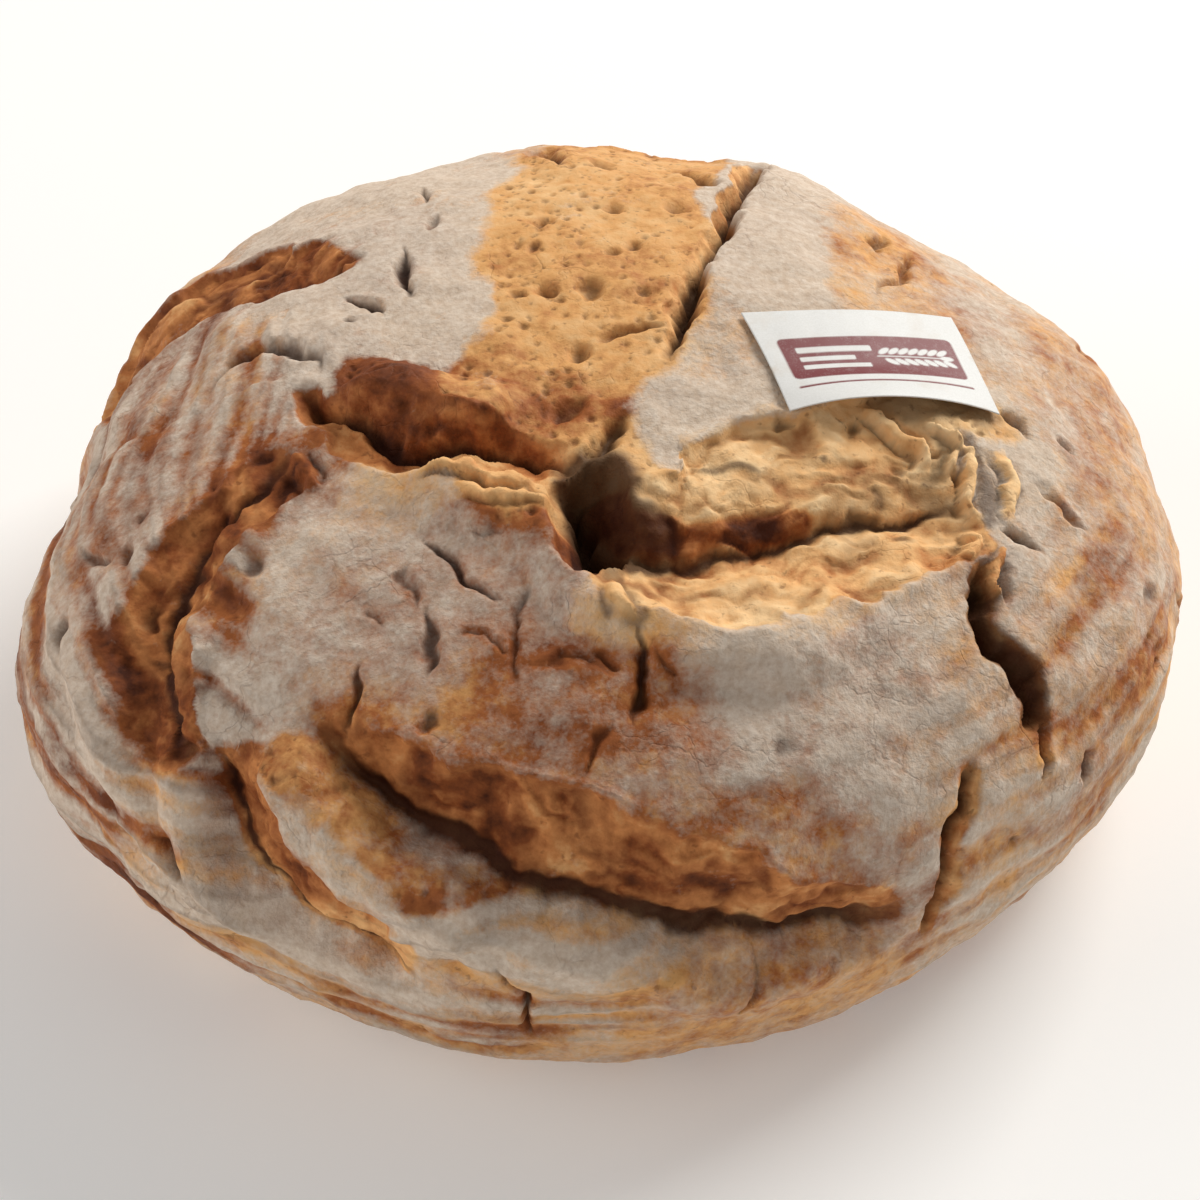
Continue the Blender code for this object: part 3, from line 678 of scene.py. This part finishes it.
def label_footprint(u, v):
    """1 under the label and 0 away from it."""
    du = u - LABEL_CENTRE[0]
    dv = v - LABEL_CENTRE[1]
    across = np.abs(du * math.cos(LABEL_TURN) + dv * math.sin(LABEL_TURN))
    back = np.abs(dv * math.cos(LABEL_TURN) - du * math.sin(LABEL_TURN))
    outside = np.maximum(across - LABEL_WIDTH / 2, back - LABEL_DEPTH / 2)
    return 1.0 - smooth((outside + 3.0) / 4.0)


def disc_grid(count):
    """A square grid of count x count places spread evenly over a disc: share of the radius, and direction."""
    line = np.linspace(-1.0, 1.0, count)
    x, y = np.meshgrid(line, line)
    reach = np.maximum(np.abs(x), np.abs(y))
    safe = np.where(reach == 0, 1.0, reach)
    eighth = math.pi / 4
    sideways = np.where(x > 0, eighth * y / safe, math.pi - eighth * y / safe)
    upwards = np.where(y > 0, math.pi / 2 - eighth * x / safe, eighth * x / safe - math.pi / 2)
    turn = np.where(np.abs(x) >= np.abs(y), sideways, upwards)
    return reach.ravel(), turn.ravel()


def closed_grid(count):
    """Places and quads of two grids joined along their rims, one over the crown and one over the base."""
    reach, turn = disc_grid(count)
    over = reach * TO_BELLY
    under = TO_BASE_MIDDLE - reach * (TO_BASE_MIDDLE - TO_BELLY)
    number = np.arange(count * count).reshape(count, count)
    quads = np.stack([number[:-1, :-1], number[:-1, 1:], number[1:, 1:], number[1:, :-1]], axis=-1).reshape(-1, 4)
    inside = reach < 1.0
    below = np.arange(count * count)
    below[inside] = count * count + np.arange(inside.sum())
    along = np.concatenate([over, under[inside]])
    turn = np.concatenate([turn, turn[inside]])
    return along, turn, np.vstack([quads, below[quads][:, ::-1]])


def new_piece(name, points, faces):
    """A mesh object from arrays of points, in metres, and of faces that all have as many corners."""
    corners = faces.shape[1]
    mesh = bpy.data.meshes.new(name)
    mesh.vertices.add(len(points))
    mesh.vertices.foreach_set("co", points.astype(np.float32).ravel())
    mesh.loops.add(faces.size)
    mesh.loops.foreach_set("vertex_index", faces.astype(np.int32).ravel())
    mesh.polygons.add(len(faces))
    mesh.polygons.foreach_set("loop_start", np.arange(0, faces.size, corners, dtype=np.int32))
    mesh.update(calc_edges=True)
    mesh.validate()
    piece = bpy.data.objects.new(name, mesh)
    bpy.context.collection.objects.link(piece)
    return piece


def keep_values(piece, name, values):
    """Stores a value for each point of a piece, for its material to read."""
    stored = piece.data.attributes.new(name, "FLOAT", "POINT")
    stored.data.foreach_set("value", values.astype(np.float32))


def apply_modifiers(piece):
    """Turns a piece's modifiers into mesh."""
    shapes = bpy.context.evaluated_depsgraph_get()
    mesh = bpy.data.meshes.new_from_object(piece.evaluated_get(shapes))
    piece.modifiers.clear()
    piece.data = mesh


def centre_of(box):
    return [(low + high) / 2 for low, high in zip(box[0], box[1])]


def flatten_out(piece):
    """Lays the crust map out as the piece's own map: the crown's disc in one corner, the base's in the other."""
    mesh = piece.data
    along = np.zeros(len(mesh.vertices), np.float32)
    mesh.attributes["along"].data.foreach_get("value", along)
    points = np.zeros(len(mesh.vertices) * 3, np.float32)
    mesh.vertices.foreach_get("co", points)
    points = points.reshape(-1, 3)
    corner = np.zeros(len(mesh.loops), np.int32)
    mesh.loops.foreach_get("vertex_index", corner)
    starts = np.zeros(len(mesh.polygons), np.int32)
    mesh.polygons.foreach_get("loop_start", starts)
    sizes = np.diff(np.append(starts, len(corner)))
    middle = np.add.reduceat(along[corner], starts) / sizes
    on_crown = np.repeat(middle < TO_BELLY, sizes)
    turn = np.arctan2(points[corner, 1], points[corner, 0])
    out = np.where(on_crown, along[corner], TO_BASE_MIDDLE - along[corner])
    radius = 0.285
    scale = radius / (TO_BELLY + 4.0)
    centre = np.where(on_crown, radius + 0.005, 1.0 - radius - 0.005)
    flat = np.stack([centre + out * scale * np.cos(turn), centre + out * scale * np.sin(turn)], axis=-1)
    mesh.uv_layers.new(name="OFBake").data.foreach_set("uv", flat.astype(np.float32).ravel())


def settle(piece, slot, *replaced):
    """Puts a piece on the loaf's body and hides the solids that it stands for."""
    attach(piece, "root")
    if replaced:
        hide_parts(*replaced)


def make_loaf():
    along, turn, quads = closed_grid(FINE_GRID)
    crust = Crust(along * np.cos(turn), along * np.sin(turn))
    crust.dress()
    points = crust.points() * MM
    middle = centre_of(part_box("loaf"))
    shift = np.array(middle[:2]) - (points[:, :2].min(axis=0) + points[:, :2].max(axis=0)) / 2
    points[:, :2] += shift
    loaf = new_piece("torn_loaf", points, quads)
    for name in ("flour", "toast", "torn", "dark"):
        keep_values(loaf, name, getattr(crust, name))
    keep_values(loaf, "along", along)
    thin = loaf.modifiers.new("fewer faces", "DECIMATE")
    thin.ratio = LOAF_FACES / (2 * len(quads))
    apply_modifiers(loaf)
    flatten_out(loaf)
    loaf.data.shade_smooth()
    loaf.data.materials.append(crust_finish())
    settle(loaf, "crust", "loaf")
    return shift


LABEL_CLEARANCE = 0.25
FRONT_EDGE_LIFT = 2.6
BAND_HALF = (18.0, 5.6)
BAND_CORNER = 1.2
INK_EDGE = 0.25
EAR_GRAINS = 7
EAR_STEP = 2.05


def filled(distance):
    """Ink inside a shape whose edge is at distance 0."""
    return smooth(0.5 - distance / INK_EDGE)


def rounded_box(a, b, centre, half, corner):
    """Distance from a rounded rectangle's edge, negative inside it."""
    over_a = np.maximum(np.abs(a - centre[0]) - half[0] + corner, 0)
    over_b = np.maximum(np.abs(b - centre[1]) - half[1] + corner, 0)
    return np.hypot(over_a, over_b) - corner


def grain_shape(a, b, centre, tilt):
    """Distance from the edge of one grain of the ear."""
    along = (a - centre[0]) * math.cos(tilt) + (b - centre[1]) * math.sin(tilt)
    across = (b - centre[1]) * math.cos(tilt) - (a - centre[0]) * math.sin(tilt)
    return (np.hypot(along / 1.45, across / 0.62) - 1.0) * 0.62


def label_ink(a, b):
    """The label's plain print: a dark red band with an ear of grain and three bars left white, and a thin line."""
    ink = filled(rounded_box(a, b, (0, 0), BAND_HALF, BAND_CORNER))
    bare = filled(rounded_box(a, b, (-7.5, 2.2), (7.6, 0.75), 0.3))
    bare = np.maximum(bare, filled(rounded_box(a, b, (-9.5, -0.2), (5.6, 0.6), 0.3)))
    bare = np.maximum(bare, filled(rounded_box(a, b, (-8.2, -2.4), (6.9, 0.6), 0.3)))
    bare = np.maximum(bare, filled(rounded_box(a, b, (7.9, 0), (7.2, 0.16), 0.1)))
    for i in range(EAR_GRAINS):
        for side in (-1, 1):
            centre = (2.9 + i * EAR_STEP - 0.4 * side, 1.45 * side)
            bare = np.maximum(bare, filled(grain_shape(a, b, centre, 0.55 * side)))
    bare = np.maximum(bare, filled(grain_shape(a, b, (15.4, 0), 0.0)))
    line = filled(rounded_box(a, b, (0, -8.0), (18.0, 0.28), 0.2))
    return np.maximum(ink * (1.0 - bare), line)


def make_label(shift):
    """A paper label that bridges the rough crust, its front edge curled up in the middle."""
    columns, rows = LABEL_CELLS
    a, b = np.meshgrid(np.linspace(-1, 1, columns + 1), np.linspace(-1, 1, rows + 1))
    a = a.ravel()
    b = b.ravel()
    across = a * LABEL_WIDTH / 2
    back = b * LABEL_DEPTH / 2
    # The paper shrank unevenly, so its sides bow a little.
    place_a = across + 0.7 * a * b - 0.4 * a * (1 - b ** 2)
    place_b = back - 0.5 * b * a ** 2 + 0.9 * a * a * b
    u = LABEL_CENTRE[0] + place_a * math.cos(LABEL_TURN) - place_b * math.sin(LABEL_TURN)
    v = LABEL_CENTRE[1] + place_a * math.sin(LABEL_TURN) + place_b * math.cos(LABEL_TURN)
    under = Crust(u, v)
    under.dress()
    relief = under.rise - under.cut
    terms = np.stack([a ** i * b ** j for i in range(4) for j in range(4 - i)], axis=-1)
    weights, *_ = np.linalg.lstsq(terms, under.rise, rcond=None)
    lie = terms @ weights
    lie += np.max(relief - lie) + LABEL_CLEARANCE
    lie += FRONT_EDGE_LIFT * smooth((-b - 0.1) / 0.9) * (1.0 - a ** 2) + 0.35 * np.sin(2.6 * a + 1.0) * b
    points = (under.plain + outward(u, v) * lie[:, None]) * MM
    points[:, :2] += shift
    number = np.arange((columns + 1) * (rows + 1)).reshape(rows + 1, columns + 1)
    quads = np.stack([number[:-1, :-1], number[:-1, 1:], number[1:, 1:], number[1:, :-1]], axis=-1).reshape(-1, 4)
    label = new_piece("paper_label", points, quads)
    keep_values(label, "ink", label_ink(across, back))
    keep_values(label, "edge", np.maximum(np.abs(a), np.abs(b)))
    paper = label.modifiers.new("paper", "SOLIDIFY")
    paper.thickness = LABEL_THICKNESS * MM
    paper.offset = 1.0
    apply_modifiers(label)
    label.data.shade_smooth()
    label.data.materials.append(label_finish())
    settle(label, "label_paper", "label")


# ---------------------------------------------------------------------------------------------------------
# Finishes
# ---------------------------------------------------------------------------------------------------------
def srgb(red, green, blue):
    """A colour given as 0 to 255, as shaders want it."""
    return tuple((c / 255 / 12.92) if c / 255 <= 0.04045 else ((c / 255 + 0.055) / 1.055) ** 2.4
                 for c in (red, green, blue)) + (1.0,)


def add(tree, kind, place=(0, 0), **settings):
    node = tree.nodes.new(kind)
    node.location = place
    for name, value in settings.items():
        setattr(node, name, value)
    return node


def math_node(tree, operation, a, b=None, clamp=False):
    """A Math node whose inputs are sockets or numbers, and its result."""
    node = add(tree, "ShaderNodeMath", operation=operation, use_clamp=clamp)
    for socket, value in zip(node.inputs, (a, b)):
        if value is None:
            continue
        if isinstance(value, (int, float)):
            socket.default_value = value
        else:
            tree.links.new(value, socket)
    return node.outputs[0]


def weigh(tree, *terms):
    """The sum of (value - middle) * weight over the terms (value, middle, weight)."""
    total = None
    for value, middle, weight in terms:
        term = math_node(tree, "MULTIPLY", math_node(tree, "SUBTRACT", value, middle), weight)
        total = term if total is None else math_node(tree, "ADD", total, term)
    return total


def mix_colours(tree, factor, first, second):
    node = add(tree, "ShaderNodeMix", data_type="RGBA")
    tree.links.new(factor, node.inputs["Factor"])
    for socket, value in ((node.inputs[6], first), (node.inputs[7], second)):
        if isinstance(value, tuple):
            socket.default_value = value
        else:
            tree.links.new(value, socket)
    return node.outputs[2]


def ramp(tree, factor, stops, interpolation="LINEAR"):
    node = add(tree, "ShaderNodeValToRGB")
    node.color_ramp.interpolation = interpolation
    while len(node.color_ramp.elements) < len(stops):
        node.color_ramp.elements.new(0.5)
    for element, (position, colour) in zip(node.color_ramp.elements, stops):
        element.position = position
        element.color = colour
    tree.links.new(factor, node.inputs[0])
    return node.outputs[0]


def cloudy(tree, where, scale, detail=3.0, roughness=0.55):
    """Soft noise, mostly between 0.3 and 0.7. The scale counts lumps in a metre, or is a socket."""
    node = add(tree, "ShaderNodeTexNoise")
    if isinstance(scale, (int, float)):
        node.inputs["Scale"].default_value = scale
    else:
        tree.links.new(scale, node.inputs["Scale"])
    node.inputs["Detail"].default_value = detail
    node.inputs["Roughness"].default_value = roughness
    tree.links.new(where, node.inputs["Vector"])
    return node.outputs[0]


def new_group(name, inputs, outputs):
    """A shader node group with its sockets, and its two ends."""
    group = bpy.data.node_groups.new(name, "ShaderNodeTree")
    for label, kind, value in inputs:
        socket = group.interface.new_socket(label, in_out="INPUT", socket_type=kind)
        if value is not None:
            socket.default_value = value
    for label, kind in outputs:
        group.interface.new_socket(label, in_out="OUTPUT", socket_type=kind)
    return group, add(group, "NodeGroupInput", (-900, 0)), add(group, "NodeGroupOutput", (900, 0))


def flour_dusting():
    """Flour that lies in patches: thick where Amount is high, broken into blotches and specks at its edges."""
    group, entry, result = new_group(
        "flour_dusting",
        [("Place", "NodeSocketVector", None), ("Amount", "NodeSocketFloat", 0.5),
         ("Patch Size", "NodeSocketFloat", 62.0), ("Speck Size", "NodeSocketFloat", 1000.0)],
        [("Cover", "NodeSocketFloat"), ("Height", "NodeSocketFloat")],
    )
    where = entry.outputs["Place"]
    patches = cloudy(group, where, entry.outputs["Patch Size"], 4.0, 0.62)
    blotches = cloudy(group, where, math_node(group, "MULTIPLY", entry.outputs["Patch Size"], 3.7), 3.0, 0.6)
    specks = cloudy(group, where, entry.outputs["Speck Size"], 2.0, 0.6)
    spread = weigh(group, (patches, 0.5, 1.0), (blotches, 0.5, 0.7), (specks, 0.5, 0.45), (entry.outputs["Amount"], 0.5, 1.0))
    cover = math_node(group, "ADD", math_node(group, "MULTIPLY", spread, 1.7), 0.5, clamp=True)
    group.links.new(cover, result.inputs["Cover"])
    lie = math_node(group, "MULTIPLY", cover, math_node(group, "ADD", specks, 0.6))
    group.links.new(lie, result.inputs["Height"])
    return group


def fine_grain():
    """Small grain over a surface, as a mask and a height."""
    group, entry, result = new_group(
        "fine_grain",
        [("Place", "NodeSocketVector", None), ("Size", "NodeSocketFloat", 900.0)],
        [("Mask", "NodeSocketFloat"), ("Height", "NodeSocketFloat")],
    )
    coarse = cloudy(group, entry.outputs["Place"], entry.outputs["Size"], 4.0, 0.65)
    mask = math_node(group, "MULTIPLY", math_node(group, "SUBTRACT", coarse, 0.35), 3.0, clamp=True)
    group.links.new(mask, result.inputs["Mask"])
    group.links.new(coarse, result.inputs["Height"])
    return group


GROUPS = {}


def place_group(tree, build, where, **values):
    """A node that uses a shared group, which is built the first time it is asked for."""
    if build.__name__ not in GROUPS:
        GROUPS[build.__name__] = build()
    node = add(tree, "ShaderNodeGroup", node_tree=GROUPS[build.__name__])
    tree.links.new(where, node.inputs["Place"])
    for name, value in values.items():
        socket = node.inputs[name.replace("_", " ")]
        if isinstance(value, (int, float)):
            socket.default_value = value
        else:
            tree.links.new(value, socket)
    return node


def new_finish(name):
    material = bpy.data.materials.new(name)
    material.use_nodes = True
    tree = material.node_tree
    return material, tree, tree.nodes["Principled BSDF"]


def bump(tree, height, strength, distance, below=None):
    node = add(tree, "ShaderNodeBump")
    node.inputs["Strength"].default_value = strength
    node.inputs["Distance"].default_value = distance
    tree.links.new(height, node.inputs["Height"])
    if below is not None:
        tree.links.new(below, node.inputs["Normal"])
    return node.outputs[0]


def value_of(tree, name):
    return add(tree, "ShaderNodeAttribute", attribute_name=name).outputs["Fac"]


def fine_cracks(tree, where):
    """A net of hairline cracks, as a mask that is 1 on a line and fades in and out over the crust."""
    wobble = add(tree, "ShaderNodeTexNoise")
    wobble.inputs["Scale"].default_value = 130.0
    wobble.inputs["Detail"].default_value = 3.0
    tree.links.new(where, wobble.inputs["Vector"])
    bent = add(tree, "ShaderNodeVectorMath", operation="MULTIPLY_ADD")
    tree.links.new(wobble.outputs["Color"], bent.inputs[0])
    bent.inputs[1].default_value = (0.012, 0.012, 0.012)
    tree.links.new(where, bent.inputs[2])
    net = add(tree, "ShaderNodeTexVoronoi", feature="DISTANCE_TO_EDGE")
    net.inputs["Scale"].default_value = 105.0
    tree.links.new(bent.outputs[0], net.inputs["Vector"])
    line = math_node(tree, "SUBTRACT", 1.0, math_node(tree, "MULTIPLY", net.outputs["Distance"], 26.0), clamp=True)
    somewhere = math_node(tree, "MULTIPLY", math_node(tree, "SUBTRACT", cloudy(tree, where, 38.0), 0.5), 7.0, clamp=True)
    return math_node(tree, "MULTIPLY", line, somewhere)


def crust_finish():
    """Baked rye crust: golden to dark brown with its toast, floured in patches, painted nearly black-brown in the
    depths as shade, with some real scorching.
    """
    material, tree, shader = new_finish("rye_crust")
    where = add(tree, "ShaderNodeTexCoord").outputs["Object"]
    torn = value_of(tree, "torn")
    cracks = fine_cracks(tree, where)

    uneven = weigh(tree, (value_of(tree, "toast"), 0.0, 1.0), (cloudy(tree, where, 48.0, 4.0, 0.6), 0.5, 0.7),
                   (cloudy(tree, where, 300.0, 3.0, 0.6), 0.5, 0.55))
    baked = math_node(tree, "ADD", uneven, 0.0, clamp=True)
    brown = ramp(tree, baked, [(0.0, srgb(240, 200, 146)), (0.32, srgb(226, 168, 104)), (0.56, srgb(168, 98, 50)),
                               (0.78, srgb(128, 66, 30)), (1.0, srgb(78, 36, 14))])
    crumb = ramp(tree, baked, [(0.0, srgb(252, 214, 162)), (0.3, srgb(246, 192, 130)), (0.55, srgb(210, 138, 80)),
                               (0.8, srgb(148, 80, 38)), (1.0, srgb(80, 36, 14))])
    bare = mix_colours(tree, torn, brown, crumb)
    freckles = math_node(tree, "MULTIPLY", math_node(tree, "SUBTRACT", cloudy(tree, where, 520.0, 2.0), 0.63), 9.0,
                         clamp=True)
    bare = mix_colours(tree, math_node(tree, "MULTIPLY", freckles, 0.5), bare, srgb(112, 62, 32))

    dust = place_group(tree, flour_dusting, where, Amount=value_of(tree, "flour"))
    grain = place_group(tree, fine_grain, where, Size=620.0)
    meal = mix_colours(tree, grain.outputs["Mask"], srgb(202, 182, 162), srgb(226, 212, 196))
    covered = mix_colours(tree, math_node(tree, "MULTIPLY", dust.outputs["Cover"], 0.93), bare, meal)
    covered = mix_colours(tree, math_node(tree, "MULTIPLY", cracks, 0.16), covered, srgb(118, 72, 44))
    # Painted shade: the dark mask turns the colour black-brown in grooves, cracks, pits and crevices and under the
    # label's edge, with some real scorching.
    shade_and_scorch = math_node(tree, "MULTIPLY", value_of(tree, "dark"), 0.92, clamp=True)
    final = mix_colours(tree, shade_and_scorch, covered, srgb(52, 19, 7))
    tree.links.new(final, shader.inputs["Base Color"])

    dull = weigh(tree, (dust.outputs["Cover"], 0.0, 0.22), (torn, -6.0, 0.11))
    tree.links.new(dull, shader.inputs["Roughness"])
    shader.inputs["Specular IOR Level"].default_value = 0.22
    coarse = weigh(tree, (cloudy(tree, where, 210.0, 4.0, 0.62), 0.0, 1.0), (cracks, 0.0, -0.25))
    wrinkled = bump(tree, coarse, 0.5, 0.0011)
    rough = bump(tree, grain.outputs["Height"], 0.45, 0.0005, wrinkled)
    dusty = bump(tree, dust.outputs["Height"], 0.4, 0.0004, rough)
    tree.links.new(dusty, shader.inputs["Normal"])
    return material


def label_finish():
    """Coated paper with a plain dark red print, a little soiled by flour near its edges."""
    material, tree, shader = new_finish("label_paper")
    where = add(tree, "ShaderNodeTexCoord").outputs["Object"]
    fibres = place_group(tree, fine_grain, where, Size=2600.0)
    paper = mix_colours(tree, fibres.outputs["Mask"], srgb(222, 222, 219), srgb(232, 232, 230))
    edge = math_node(tree, "MULTIPLY", math_node(tree, "SUBTRACT", value_of(tree, "edge"), 0.9), 6.0, clamp=True)
    smudges = math_node(tree, "MULTIPLY", math_node(tree, "SUBTRACT", cloudy(tree, where, 150.0, 4.0), 0.5), 3.0,
                        clamp=True)
    soiled = mix_colours(tree, math_node(tree, "MULTIPLY", math_node(tree, "ADD", edge, 0.35), smudges), paper,
                         srgb(206, 188, 166))
    patchy = weigh(tree, (fibres.outputs["Height"], 0.5, 0.5), (cloudy(tree, where, 500.0), 0.5, 0.4))
    inked = math_node(tree, "MULTIPLY", value_of(tree, "ink"), math_node(tree, "ADD", patchy, 1.0), clamp=True)
    final = mix_colours(tree, inked, soiled, srgb(116, 22, 30))
    tree.links.new(final, shader.inputs["Base Color"])
    shader.inputs["Roughness"].default_value = 0.5
    creases = cloudy(tree, where, 70.0, 2.0)
    soft = bump(tree, creases, 0.35, 0.0015)
    tree.links.new(bump(tree, fibres.outputs["Height"], 0.25, 0.0001, soft), shader.inputs["Normal"])
    return material


def floor_finish():
    material, tree, shader = new_finish("pale_floor")
    shader.inputs["Base Color"].default_value = (0.88, 0.88, 0.87, 1.0)
    shader.inputs["Roughness"].default_value = 0.9
    shader.inputs["Emission Color"].default_value = (1.0, 1.0, 1.0, 1.0)
    shader.inputs["Emission Strength"].default_value = 0.16
    return material


# ---------------------------------------------------------------------------------------------------------
# The studio
# ---------------------------------------------------------------------------------------------------------
CAMERA_HEIGHT_ANGLE = math.radians(46.0)
CAMERA_DISTANCE = 0.7101
CAMERA_TARGET = Vector((-0.0012, 0.0009, 0.0293))
CAMERA_LENS = 100.0


def make_camera():
    camera = bpy.data.objects.new("camera", bpy.data.cameras.new("camera"))
    bpy.context.collection.objects.link(camera)
    back = Vector((0.0, -math.cos(CAMERA_HEIGHT_ANGLE), math.sin(CAMERA_HEIGHT_ANGLE)))
    camera.location = CAMERA_TARGET + back * CAMERA_DISTANCE
    camera.rotation_euler = back.to_track_quat("Z", "Y").to_euler()
    camera.data.lens = CAMERA_LENS
    camera.data.sensor_width = 36.0
    camera.data.clip_start = 0.01
    bpy.context.scene.camera = camera


def make_light(name, place, size, watts, colour):
    """A soft square light aimed at the loaf."""
    light = bpy.data.objects.new(name, bpy.data.lights.new(name, "AREA"))
    bpy.context.collection.objects.link(light)
    light.location = place
    light.rotation_euler = (Vector(place) - CAMERA_TARGET).to_track_quat("Z", "Y").to_euler()
    light.data.size = size
    light.data.energy = watts
    light.data.color = colour


def make_studio():
    floor = new_piece("floor", np.array([(-3, -3, 0), (3, -3, 0), (3, 3, 0), (-3, 3, 0)], float),
                      np.array([(0, 1, 2, 3)]))
    floor.data.materials.append(floor_finish())
    make_camera()
    make_light("key", (1.25, 1.40, 1.35), 1.30, 51.0, (1.0, 0.97, 0.92))
    make_light("fill", (-1.7, -0.1, 0.6), 1.4, 12.5, (1.0, 0.94, 0.88))
    world = bpy.data.worlds.new("studio")
    world.use_nodes = True
    backdrop = world.node_tree.nodes["Background"]
    backdrop.inputs["Color"].default_value = (1.0, 1.0, 1.0, 1.0)
    backdrop.inputs["Strength"].default_value = 0.32
    bpy.context.scene.world = world
    bpy.context.scene.view_settings.view_transform = "Standard"


make_label(make_loaf())
make_studio()
